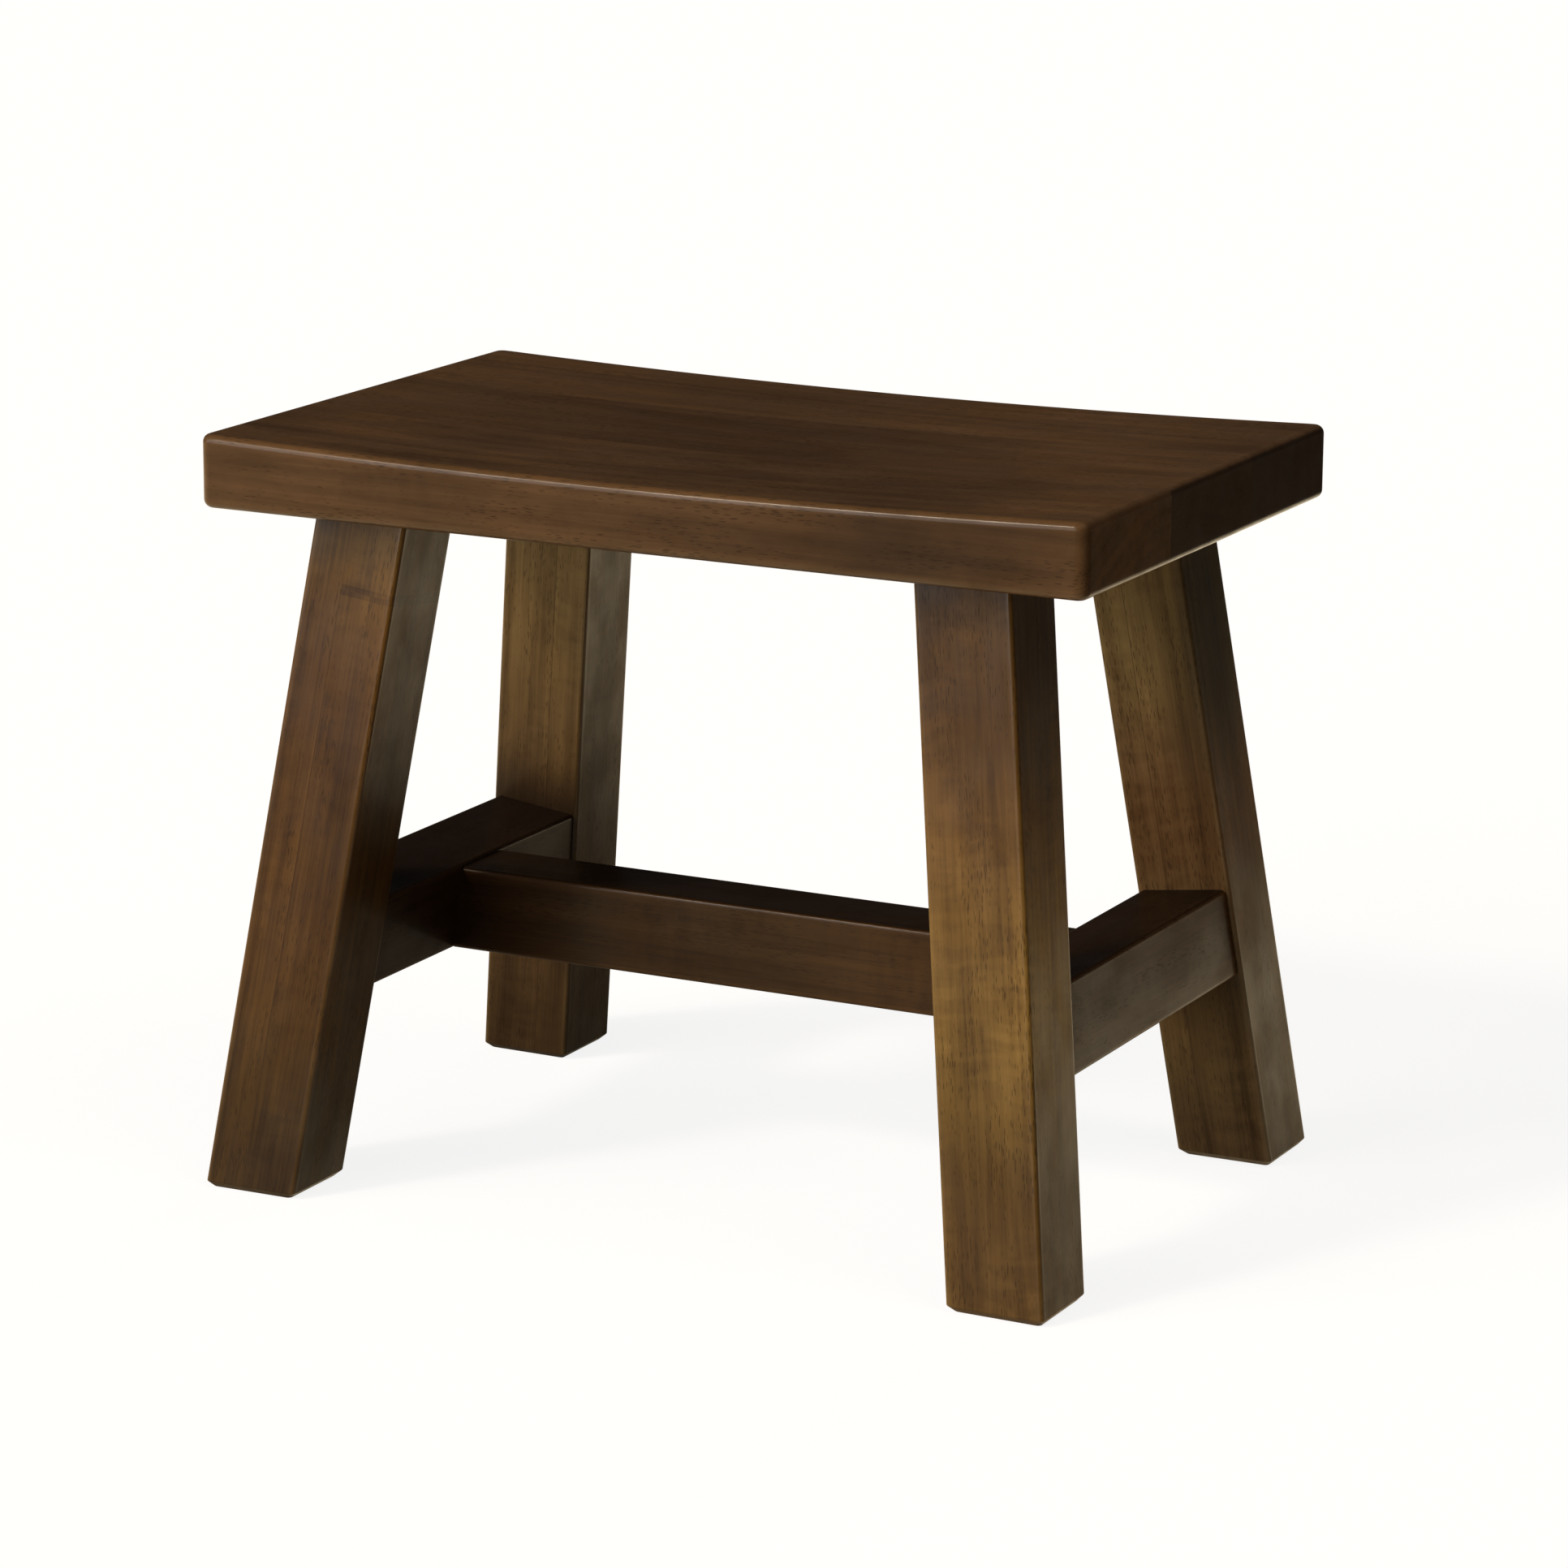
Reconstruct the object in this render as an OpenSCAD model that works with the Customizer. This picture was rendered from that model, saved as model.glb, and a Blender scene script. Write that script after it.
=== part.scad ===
// Low wooden stool: a dished seat on four legs that splay both ways, braced by an H of stretchers.
// X runs along the seat, Y from front to back, Z up. The origin is on the floor, under the seat's middle.
// The two legs and the stretcher at each end form a flat end frame, which leans inwards as it rises.

/* [Seat] */
// Length of the seat
seat_l = 450; // [380:1:560]
// Depth of the seat, front to back
seat_d = 280; // [250:1:340]
// Thickness of the seat at its ends
seat_t = 35; // [30:1:45]
// Height of the seat's ends above the floor
seat_h = 360; // [300:1:460]
// How much lower the middle of the top is than its ends
dish_depth = 4; // [2:0.5:6]
// Width of the middle one of the three boards
middle_board_w = 94; // [70:1:110]
// Radius of the seat's top and bottom edges
seat_edge_r = 4; // [2:0.5:6]
// Radius of the seat's four upright corners
seat_corner_r = 6; // [3:0.5:12]

/* [Legs] */
// Width of a leg, square to the end frame
leg_w = 48; // [42:0.5:56]
// Depth of a leg, within the end frame
leg_d = 46; // [40:0.5:54]
// From the end of the seat to the middle of a leg's top
leg_end_inset = 71.5; // [55:0.5:100]
// From the front or back of the seat to the middle of a leg's top
leg_side_inset = 50; // [40:0.5:60]
// Lean of each end frame, outwards from the top down
frame_splay = 7.2; // [3:0.1:12]
// Lean of each leg within its end frame
leg_splay = 7.4; // [3:0.1:12]
// Radius of a leg's long edges
leg_edge_r = 2; // [1:0.5:4]
// Chamfer round the bottom of each foot
foot_chamfer = 3; // [1:0.5:5]

/* [Stretchers] */
// Height of an end stretcher, up the end frame
end_rail_h = 43.5; // [36:0.5:50]
// Thickness of an end stretcher, square to the end frame
end_rail_t = 43.5; // [34:0.5:45]
// Height above the floor of an end stretcher's top, at the middle of the leg's width
end_rail_top = 138; // [110:1:180]
// How far an end stretcher's outer face lies behind the outer faces of its legs
end_rail_setback = 2.5; // [1:0.5:5]
// Height of the centre stretcher
centre_rail_h = 41; // [34:0.5:44]
// Thickness of the centre stretcher
centre_rail_t = 40; // [32:0.5:46]
// Drop from the top of the end stretchers to the top of the centre stretcher
centre_rail_drop = 4.5; // [2:0.5:8]
// Radius of the stretchers' long edges
rail_edge_r = 2; // [1:0.5:4]

/* [Joints] */
// Thickness of the end stretchers' oval tenons
end_tenon_t = 14; // [10:1:18]
// Height of the end stretchers' oval tenons
end_tenon_h = 30; // [24:1:34]
// How far the end stretchers' tenons reach into the legs
end_tenon_l = 26; // [18:1:32]
// Thickness of the centre stretcher's oval tenons
centre_tenon_t = 14; // [10:1:18]
// Height of the centre stretcher's oval tenons
centre_tenon_h = 28; // [22:1:30]
// How far the centre stretcher's tenons reach into the end stretchers
centre_tenon_l = 24; // [16:1:30]
// Diameter of the dowels between the legs and the seat
dowel_d = 10; // [8:1:12]
// Length of those dowels
dowel_l = 40; // [30:1:44]
// Distance between the two dowels of one leg
dowel_gap = 22; // [18:1:24]
// Number of glue flutes round a dowel
dowel_flutes = 12; // [8:1:16]
// Radius of each glue flute
dowel_flute_r = 0.6; // [0.3:0.1:0.8]
// Chamfer at each end of a dowel
dowel_chamfer = 1; // [0.5:0.25:1.5]
// Glue film all round a tenon or a dowel
glue_film = 0.1; // [0.05:0.05:0.2]
// Space for spare glue at the bottom of a mortise or a dowel hole
glue_space = 1.5; // [1:0.5:2.5]

/* [Hidden] */

$fn = 64;
dish_fn = 1440;
overrun = 1;

seat_colour = [0.23, 0.15, 0.10];
leg_colour = [0.33, 0.23, 0.14];
rail_colour = [0.27, 0.18, 0.12];
dowel_colour = [0.80, 0.66, 0.46];

// The dish is an arc between the rounded ends of the seat.
under_z = seat_h - seat_t;
dish_half_l = seat_l / 2 - seat_edge_r;
dish_r = (pow(dish_half_l, 2) + pow(dish_depth, 2)) / (2 * dish_depth);
dish_axis_z = seat_h - dish_depth + dish_r;
dish_sweep = 2 * asin((seat_l / 2 + 10) / dish_r);

// Where a leg's centre line meets the underside of the seat and the floor.
leg_top_x = seat_l / 2 - leg_end_inset;
leg_top_y = seat_d / 2 - leg_side_inset;
frame_rise = under_z / cos(frame_splay);
foot_x = leg_top_x + under_z * tan(frame_splay);
foot_y = leg_top_y + frame_rise * tan(leg_splay);
leg_reach = frame_rise / cos(leg_splay);

// An end stretcher, in its end frame: x is square to the frame and z runs up it.
end_rail_x = leg_w / 2 - end_rail_setback - end_rail_t / 2;
end_rail_z = end_rail_top / cos(frame_splay) - end_rail_h / 2;
end_joint_z = (end_rail_z + leg_d / 2 * sin(leg_splay)) / cos(leg_splay);

// The centre stretcher, and where it meets the inner face of an end stretcher.
end_rail_inner_x = end_rail_x - end_rail_t / 2;
centre_rail_z = end_rail_top - centre_rail_drop - centre_rail_h / 2;
centre_joint_z = (centre_rail_z - end_rail_inner_x * sin(frame_splay)) / cos(frame_splay);

// Mirrors what is built at the back right to any side: -1 is left or front, 1 is right or back.
module to_side(x, y) {
    mirror([x < 0 ? 1 : 0, 0, 0]) mirror([0, y < 0 ? 1 : 0, 0]) children();
}

// The waste outside a corner of radius r, with the corner's centre at the origin.
// lean tips the upper of its two faces, for a top that isn't level.
module corner_waste(r, lean = 0) {
    reach = 2 * r;
    difference() {
        polygon([[0, 0], [reach, 0], [reach, reach], reach * [-sin(lean), cos(lean)]]);
        circle(r = r);
    }
}

// A rectangle with rounded corners.
module rounded_rect(w, d, r) {
    difference() {
        square([w, d], center = true);
        for (x = [-1, 1], y = [-1, 1])
            to_side(x, y) translate([w / 2 - r, d / 2 - r]) corner_waste(r);
    }
}

// The section of an oval tenon or mortise: straight cheeks and half-round ends.
module oval(t, h) {
    square([t, h - t], center = true);
    for (y = [-1, 1])
        translate([0, y * (h - t) / 2]) circle(d = t);
}

// A straight oval bar along +Z from just behind its start.
module oval_bar(t, h, l, behind) {
    translate([0, 0, -behind]) linear_extrude(l + behind) oval(t, h);
}

// Seat

// One section of the seat, with its top edges rounded, swept along the arc of the dish. The sweep hollows
// the top, and carries the rounding of the front and back edges along the hollow.
module dished_slab() {
    section_t = seat_t + 2 * dish_depth;
    translate([0, 0, dish_axis_z]) rotate([90, 90, 0]) rotate([0, 0, -dish_sweep / 2])
        rotate_extrude(angle = dish_sweep, $fn = dish_fn) difference() {
            translate([dish_r, -seat_d / 2]) square([section_t, seat_d]);
            for (y = [-1, 1])
                to_side(1, y) translate([dish_r + seat_edge_r, seat_d / 2 - seat_edge_r])
                    mirror([1, 0]) corner_waste(seat_edge_r);
        }
}

// The slab cut to length, and flat underneath.
module seat_slab() {
    intersection() {
        dished_slab();
        translate([-seat_l / 2, -seat_d, under_z]) cube([seat_l, 2 * seat_d, 2 * seat_t]);
    }
}

// What is taken off the four upright corners.
module upright_corner_waste() {
    for (x = [-1, 1], y = [-1, 1])
        to_side(x, y) translate([seat_l / 2 - seat_corner_r, seat_d / 2 - seat_corner_r, under_z - overrun])
            linear_extrude(2 * seat_t) corner_waste(seat_corner_r);
}

// What is taken off the seat's ends: the top rounding runs smoothly into the dish.
module end_edge_waste() {
    lean = asin(dish_half_l / (dish_r + seat_edge_r));
    for (x = [-1, 1])
        to_side(x, 1) rotate([90, 0, 0]) linear_extrude(seat_d + 2 * overrun, center = true) {
            translate([dish_half_l, dish_axis_z - (dish_r + seat_edge_r) * cos(lean)])
                corner_waste(seat_edge_r, lean);
            translate([dish_half_l, under_z + seat_edge_r])
                mirror([0, 1]) corner_waste(seat_edge_r);
        }
}

// What is taken off the bottom edges at the front and back.
module bottom_edge_waste() {
    for (y = [-1, 1])
        to_side(1, y) rotate([90, 0, 90]) linear_extrude(seat_l + 2 * overrun, center = true)
            translate([seat_d / 2 - seat_edge_r, under_z + seat_edge_r])
                mirror([0, 1]) corner_waste(seat_edge_r);
}

// The whole seat panel, before its dowel holes are drilled. Each kind of edge is cut in its own pass.
module seat_panel() {
    difference() {
        difference() {
            difference() {
                seat_slab();
                upright_corner_waste();
            }
            end_edge_waste();
        }
        bottom_edge_waste();
    }
}

// The stretch of the seat panel that one board makes up, from its front seam to its back seam.
module seat_board(front_y, back_y) {
    color(seat_colour) difference() {
        intersection() {
            seat_panel();
            translate([-seat_l, front_y, 0]) cube([2 * seat_l, back_y - front_y, 2 * seat_h]);
        }
        at_leg_dowels() dowel_hole();
    }
}

module seat_front_board() seat_board(-seat_d, -middle_board_w / 2);
module seat_middle_board() seat_board(-middle_board_w / 2, middle_board_w / 2);
module seat_back_board() seat_board(middle_board_w / 2, seat_d);

// Dowels

// The places of the eight dowels, on the underside of the seat.
module at_leg_dowels() {
    for (x = [-1, 1], y = [-1, 1], step = [-1, 1])
        translate([x * leg_top_x, y * leg_top_y + step * dowel_gap / 2, under_z]) children();
}

module dowel_hole() {
    cylinder(d = dowel_d + 2 * glue_film, h = dowel_l + 2 * glue_space, center = true);
}

// A dowel, square to the seat, half in the seat and half in the leg.
module fluted_dowel() {
    intersection() {
        linear_extrude(dowel_l, center = true) difference() {
            circle(d = dowel_d);
            for (i = [1:dowel_flutes])
                rotate(i * 360 / dowel_flutes) translate([dowel_d / 2, 0])
                    circle(r = dowel_flute_r, $fn = 24);
        }
        rotate_extrude() polygon([
            [0, -dowel_l / 2 - overrun], [dowel_d / 2 - dowel_chamfer - overrun, -dowel_l / 2 - overrun],
            [dowel_d / 2 + overrun, -dowel_l / 2 + dowel_chamfer + overrun],
            [dowel_d / 2 + overrun, dowel_l / 2 - dowel_chamfer - overrun],
            [dowel_d / 2 - dowel_chamfer - overrun, dowel_l / 2 + overrun], [0, dowel_l / 2 + overrun],
        ]);
    }
}

module leg_dowels() {
    color(dowel_colour) at_leg_dowels() fluted_dowel();
}

// Legs, built at the back right

// The end frame: its origin is on the floor, in the middle of the frame.
module in_end_frame() {
    translate([foot_x, 0, 0]) rotate([0, -frame_splay, 0]) children();
}

// The leg within the end frame: z runs up its centre line, and -y faces the other leg of the frame.
module in_leg() {
    in_end_frame() translate([0, foot_y, 0]) rotate([leg_splay, 0, 0]) children();
}

// Where the end stretcher's centre line meets the leg, with +Z running straight into the leg.
module at_end_joint() {
    in_leg() translate([end_rail_x, -leg_d / 2, end_joint_z]) rotate([-90, 0, 0]) children();
}

// Waste below the chamfer on one bottom edge of the foot.
// heading is the way that the leg's face looks, tilt is how far it looks up, and half is its
// distance from the leg's centre line.
module foot_edge_waste(heading, tilt, half) {
    rise = foot_chamfer * [-sin(tilt), cos(tilt)];
    clear = 2 * foot_chamfer;
    rotate([0, 0, heading]) translate([half / cos(tilt), 0, 0]) rotate([90, 0, 0])
        linear_extrude(2 * (leg_w + leg_d), center = true)
            polygon([[-foot_chamfer, 0], rise, [clear, rise.y], [clear, -clear], [-foot_chamfer, -clear]]);
}

// The frame's splay turns the leg's front and back faces slightly, so their edges on the floor
// aren't square to the outer one.
module foot_waste() {
    turn = atan2(sin(leg_splay) * sin(frame_splay), cos(leg_splay));
    tilt = asin(sin(leg_splay) * cos(frame_splay));
    translate([foot_x, foot_y, 0]) {
        foot_edge_waste(0, frame_splay, leg_w / 2);
        foot_edge_waste(180, -frame_splay, leg_w / 2);
        foot_edge_waste(90 + turn, tilt, leg_d / 2);
        foot_edge_waste(270 + turn, -tilt, leg_d / 2);
    }
}

// A leg is a square bar cut off level at the floor and at the underside of the seat.
module leg_body() {
    spare = leg_w + leg_d;
    intersection() {
        in_leg() translate([0, 0, -spare]) linear_extrude(leg_reach + 2 * spare)
            rounded_rect(leg_w, leg_d, leg_edge_r);
        translate([foot_x, foot_y, 0] - [seat_l, seat_d, 0]) cube([2 * seat_l, 2 * seat_d, under_z]);
    }
}

module leg(x, y) {
    color(leg_colour) to_side(x, y) difference() {
        leg_body();
        foot_waste();
        at_end_joint() oval_bar(end_tenon_t + 2 * glue_film, end_tenon_h + 2 * glue_film,
            end_tenon_l + glue_space, overrun);
        at_leg_dowels() dowel_hole();
    }
}

module leg_front_left() leg(-1, -1);
module leg_front_right() leg(1, -1);
module leg_back_left() leg(-1, 1);
module leg_back_right() leg(1, 1);

// Stretchers

// Where the centre stretcher meets the right end stretcher, with +Z running straight into it.
module at_centre_joint() {
    in_end_frame() translate([end_rail_inner_x, 0, centre_joint_z]) rotate([0, 90, 0]) rotate([0, 0, 90])
        children();
}

// An end stretcher fills the space between its two legs, so its shoulders lean as the legs do.
module end_stretcher(x) {
    color(rail_colour) to_side(x, 1) difference() {
        union() {
            difference() {
                in_end_frame() translate([end_rail_x, 0, end_rail_z]) rotate([90, 0, 0])
                    linear_extrude(2 * foot_y, center = true)
                        rounded_rect(end_rail_t, end_rail_h, rail_edge_r);
                for (y = [-1, 1])
                    to_side(1, y) at_end_joint() translate([-seat_h, -seat_h, 0])
                        cube([2 * seat_h, 2 * seat_h, seat_d]);
            }
            for (y = [-1, 1])
                to_side(1, y) at_end_joint() oval_bar(end_tenon_t, end_tenon_h, end_tenon_l, end_tenon_t);
        }
        at_centre_joint() oval_bar(centre_tenon_t + 2 * glue_film, centre_tenon_h + 2 * glue_film,
            centre_tenon_l + glue_space, overrun);
    }
}

module end_stretcher_left() end_stretcher(-1);
module end_stretcher_right() end_stretcher(1);

// The centre stretcher is level, and its shoulders lean as the end frames do.
module centre_stretcher() {
    color(rail_colour) {
        difference() {
            translate([0, 0, centre_rail_z]) rotate([90, 0, 90])
                linear_extrude(2 * foot_x, center = true)
                    rounded_rect(centre_rail_t, centre_rail_h, rail_edge_r);
            for (x = [-1, 1])
                to_side(x, 1) at_centre_joint() translate([-seat_h, -seat_h, 0])
                    cube([2 * seat_h, 2 * seat_h, seat_l]);
        }
        for (x = [-1, 1])
            to_side(x, 1) at_centre_joint()
                oval_bar(centre_tenon_t, centre_tenon_h, centre_tenon_l, centre_tenon_t);
    }
}

seat_front_board();
seat_middle_board();
seat_back_board();
leg_front_left();
leg_front_right();
leg_back_left();
leg_back_right();
end_stretcher_left();
end_stretcher_right();
centre_stretcher();
leg_dowels();
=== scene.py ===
# %% [markdown]
# A low wooden stool, dressed round its construction model.
#
# The stool has a thick seat glued up from three boards and hollowed a little along its length, four
# square legs that splay both ways, and stretchers that form an H. The construction model gives every
# size and place. This script loads it, models finer pieces that stand exactly where its solids are,
# and gives them their walnut stain and satin lacquer.

# %% Load the construction model
import math
from functools import partial

import bmesh
import bpy
from mathutils import Matrix, Vector


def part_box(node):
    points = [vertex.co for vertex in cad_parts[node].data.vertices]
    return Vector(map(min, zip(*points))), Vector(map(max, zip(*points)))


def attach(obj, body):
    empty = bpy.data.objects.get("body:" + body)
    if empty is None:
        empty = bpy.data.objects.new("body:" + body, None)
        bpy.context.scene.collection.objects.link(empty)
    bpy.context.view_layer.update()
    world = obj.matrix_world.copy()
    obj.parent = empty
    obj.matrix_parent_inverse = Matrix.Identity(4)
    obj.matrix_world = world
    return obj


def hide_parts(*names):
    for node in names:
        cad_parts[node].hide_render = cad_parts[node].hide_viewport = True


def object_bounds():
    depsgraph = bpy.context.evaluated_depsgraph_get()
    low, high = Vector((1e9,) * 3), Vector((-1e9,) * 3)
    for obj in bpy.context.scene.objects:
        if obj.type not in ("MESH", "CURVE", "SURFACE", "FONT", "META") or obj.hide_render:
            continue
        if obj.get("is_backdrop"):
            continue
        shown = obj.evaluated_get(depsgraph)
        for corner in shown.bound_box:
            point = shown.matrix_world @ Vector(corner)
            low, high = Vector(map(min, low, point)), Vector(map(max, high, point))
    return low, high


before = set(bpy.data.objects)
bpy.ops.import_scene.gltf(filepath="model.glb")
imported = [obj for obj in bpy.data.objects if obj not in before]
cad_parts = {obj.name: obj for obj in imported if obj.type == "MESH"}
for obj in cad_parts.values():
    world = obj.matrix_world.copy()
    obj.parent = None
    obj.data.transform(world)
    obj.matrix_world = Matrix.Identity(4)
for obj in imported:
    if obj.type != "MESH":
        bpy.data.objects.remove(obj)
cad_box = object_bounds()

print("pieces in the frame:", sorted(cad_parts))

# %% [markdown]
# The sizes. The seat's length, depth, thickness and seams are measured on the frame. The splays,
# insets and edge radii can't be read from a box, so they are written here once, as the construction
# model has them, in millimetres turned to metres.

# %% Sizes of the stool
MM = 0.001

front_low, front_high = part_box("seat_front_board")
middle_low, middle_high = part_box("seat_middle_board")
back_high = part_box("seat_back_board")[1]

seat_length = front_high.x - front_low.x
seat_depth = back_high.y - front_low.y
seat_top = front_high.z
seat_underside = front_low.z
seat_thickness = seat_top - seat_underside
seat_middle = Vector((0, 0, seat_underside + seat_thickness / 2))
front_seam = middle_low.y
back_seam = middle_high.y
dish_depth = 4 * MM
seat_edge_radius = 4 * MM
seat_corner_radius = 6 * MM

leg_width = 48 * MM
leg_depth = 46 * MM
leg_end_inset = 71.5 * MM
leg_side_inset = 50 * MM
frame_splay = math.radians(7.2)
leg_splay = math.radians(7.4)
leg_edge_radius = 2 * MM
foot_chamfer = 3 * MM

end_rail_height = 43.5 * MM
end_rail_thickness = 43.5 * MM
end_rail_top = 138 * MM
end_rail_setback = 2.5 * MM
centre_rail_height = 41 * MM
centre_rail_thickness = 40 * MM
centre_rail_drop = 4.5 * MM
rail_edge_radius = 2 * MM

print("seat, mm:", [round(size / MM, 2) for size in (seat_length, seat_depth, seat_thickness)])

# %% [markdown]
# Where things meet. Two legs and the stretcher between them make a flat end frame, which leans inwards
# as it rises, and each leg leans once more within that frame. Each lean is a matrix, so a piece can be
# thought of upright and square, and then placed. A joint is a place on a stretcher's shoulder, with z
# straight into the other piece. `side` is -1 for left and 1 for right, `face` -1 for front and 1 for
# back.

# %% Places of the stool's joints
leg_top_x = seat_length / 2 - leg_end_inset
leg_top_y = seat_depth / 2 - leg_side_inset
frame_rise = seat_underside / math.cos(frame_splay)
foot_x = leg_top_x + seat_underside * math.tan(frame_splay)
foot_y = leg_top_y + frame_rise * math.tan(leg_splay)
leg_reach = frame_rise / math.cos(leg_splay)

end_rail_x = leg_width / 2 - end_rail_setback - end_rail_thickness / 2
end_rail_z = end_rail_top / math.cos(frame_splay) - end_rail_height / 2
end_joint_z = (end_rail_z + leg_depth / 2 * math.sin(leg_splay)) / math.cos(leg_splay)
end_rail_inner_x = end_rail_x - end_rail_thickness / 2
centre_rail_z = end_rail_top - centre_rail_drop - centre_rail_height / 2
centre_joint_z = (centre_rail_z - end_rail_inner_x * math.sin(frame_splay)) / math.cos(frame_splay)


def end_frame_place(side):
    """The end frame's own axes: the origin on the floor in its middle, z up the frame."""
    return Matrix.Translation((side * foot_x, 0, 0)) @ Matrix.Rotation(-side * frame_splay, 4, "Y")


def leg_place(side, face):
    """A leg's own axes: the origin at its foot, z up its centre line."""
    in_frame = Matrix.Translation((0, face * foot_y, 0)) @ Matrix.Rotation(face * leg_splay, 4, "X")
    return end_frame_place(side) @ in_frame


def end_joint(face):
    """Where the right end stretcher meets a leg."""
    start = Matrix.Translation((end_rail_x, -face * leg_depth / 2, end_joint_z))
    return leg_place(1, face) @ start @ Matrix.Rotation(-face * math.pi / 2, 4, "X")


def centre_joint(side):
    """Where the centre stretcher meets an end stretcher."""
    start = Matrix.Translation((side * end_rail_inner_x, 0, centre_joint_z))
    turn = Matrix.Rotation(side * math.pi / 2, 4, "Y") @ Matrix.Rotation(math.pi / 2, 4, "Z")
    return end_frame_place(side) @ start @ turn


print("feet at, mm:", round(foot_x / MM, 2), round(foot_y / MM, 2), "legs:", round(leg_reach / MM, 1))

# %% [markdown]
# The camera stands where the photograph was taken: a long lens from the front right, a little above
# the seat. Its place came from matching the seat's corners, the legs' edges and the feet to it.

# %% Camera
camera_place = Vector((1179.2, -2311.2, 823.0)) * MM
camera_azimuth = math.radians(26.84)
camera_downward = math.radians(13.73)
camera_roll = math.radians(0.37)
camera_lens = 129.22

camera_data = bpy.data.cameras.new("camera")
camera_data.lens = camera_lens
camera_data.clip_end = 100
camera = bpy.data.objects.new("camera", camera_data)
bpy.context.scene.collection.objects.link(camera)
camera.matrix_world = (
    Matrix.Translation(camera_place)
    @ Matrix.Rotation(camera_azimuth, 4, "Z")
    @ Matrix.Rotation(math.pi / 2 - camera_downward, 4, "X")
    @ Matrix.Rotation(camera_roll, 4, "Z")
)
bpy.context.scene.camera = camera
bpy.context.scene.view_settings.view_transform = "Standard"
print("camera at, m:", [round(value, 3) for value in camera_place])

# %% [markdown]
# Helpers for node trees. A shader is easier to read as formulas than as a list of links, so each helper
# adds one node to the tree on the bench, plugs in what it is given, and hands back the output to use
# next. A group's first input is always a place, and its seed shifts that place, so that no two pieces
# have the same pattern.

# %% Helpers for node trees
VALUE_OUTPUTS = ("LENGTH", "DOT_PRODUCT", "DISTANCE")
bench = {}


def open_tree(tree):
    """Lays a node tree on the bench, where the helpers work on it."""
    bench["tree"] = tree
    return tree.nodes


def plug(value, entry):
    """Links an output into an input, or sets the input to a plain value."""
    if isinstance(value, bpy.types.NodeSocket):
        bench["tree"].links.new(value, entry)
    else:
        entry.default_value = value


def node(kind, plugs, **settings):
    """Adds a node, sets its options, and fills its inputs."""
    made = bench["tree"].nodes.new("ShaderNode" + kind)
    for setting, value in settings.items():
        setattr(made, setting, value)
    for socket, value in plugs.items():
        plug(value, made.inputs[socket])
    return made


def maths(operation, *values, clamp=False):
    """One step of arithmetic."""
    return node("Math", dict(enumerate(values)), operation=operation, use_clamp=clamp).outputs[0]


def vectors(operation, *values):
    """One step of vector arithmetic."""
    made = node("VectorMath", dict(enumerate(values)), operation=operation)
    return made.outputs["Value" if operation in VALUE_OUTPUTS else "Vector"]


times, plus, minus = (partial(maths, name) for name in ("MULTIPLY", "ADD", "SUBTRACT"))
times_plus = partial(maths, "MULTIPLY_ADD")
shifted = partial(vectors, "ADD")


def scaled(vector, factor):
    """A vector or a colour made longer or brighter."""
    return node("VectorMath", {0: vector, "Scale": factor}, operation="SCALE").outputs["Vector"]


def split(vector):
    """The three parts of a vector."""
    return node("SeparateXYZ", {0: vector}).outputs


def remap(value, low, high, to_low=0.0, to_high=1.0, smooth=True):
    """Turns low to high into to_low to to_high, softly at both ends unless smooth is off."""
    plugs = dict(enumerate((value, low, high, to_low, to_high)))
    curve = "SMOOTHSTEP" if smooth else "LINEAR"
    return node("MapRange", plugs, interpolation_type=curve).outputs["Result"]


def between(share, low, high):
    """Runs evenly from low to high."""
    return remap(share, 0.0, 1.0, low, high, smooth=False)


def widened(value, reach=0.2, low=0.0, high=1.0):
    """Noise stays close to one half, so this spreads what lies within reach of that."""
    return remap(value, 0.5 - reach, 0.5 + reach, low, high)


def noise(place, stretch, detail=2, roughness=0.5, output="Fac"):
    """Noise on a place in metres. stretch is how many features lie along one metre of each axis."""
    place = vectors("MULTIPLY", place, stretch)
    plugs = {"Vector": place, "Scale": 1.0, "Detail": detail, "Roughness": roughness}
    return node("TexNoise", plugs).outputs[output]


def swayed(place, stretch, size):
    """A place pushed aside by slow noise, by up to a size."""
    return shifted(place, scaled(noise(place, stretch, output="Color"), size))


def mixed(share, first, second):
    """Mixes two colours."""
    return node("Mix", {0: share, 6: first, 7: second}, data_type="RGBA").outputs[2]


def new_group(name, inputs, outputs):
    """Lays a new shader node group on the bench. Gives what it takes in and what it hands out."""
    tree = bpy.data.node_groups.new(name, "ShaderNodeTree")
    for socket, default in {"Vector": (0, 0, 0), **inputs}.items():
        kind = "NodeSocketVector" if isinstance(default, tuple) else "NodeSocketFloat"
        made = tree.interface.new_socket(name=socket, in_out="INPUT", socket_type=kind)
        made.default_value = default
    for socket in outputs:
        kind = "NodeSocketVector" if socket == "Vector" else "NodeSocketFloat"
        tree.interface.new_socket(name=socket, in_out="OUTPUT", socket_type=kind)
    nodes = open_tree(tree)
    print("group:", name)
    return nodes.new("NodeGroupInput").outputs, nodes.new("NodeGroupOutput").inputs


def use_group(name, **plugs):
    """Places a group. A socket's name is written with an underscore for each space."""
    made = bench["tree"].nodes.new("ShaderNodeGroup")
    made.node_tree = bpy.data.node_groups[name]
    for socket, value in plugs.items():
        plug(value, made.inputs[socket.replace("_", " ")])
    return made.outputs


def seeded(given, shares):
    """A group's place, shifted by its seed."""
    return shifted(given["Vector"], scaled(shares, given["Seed"]))


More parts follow.
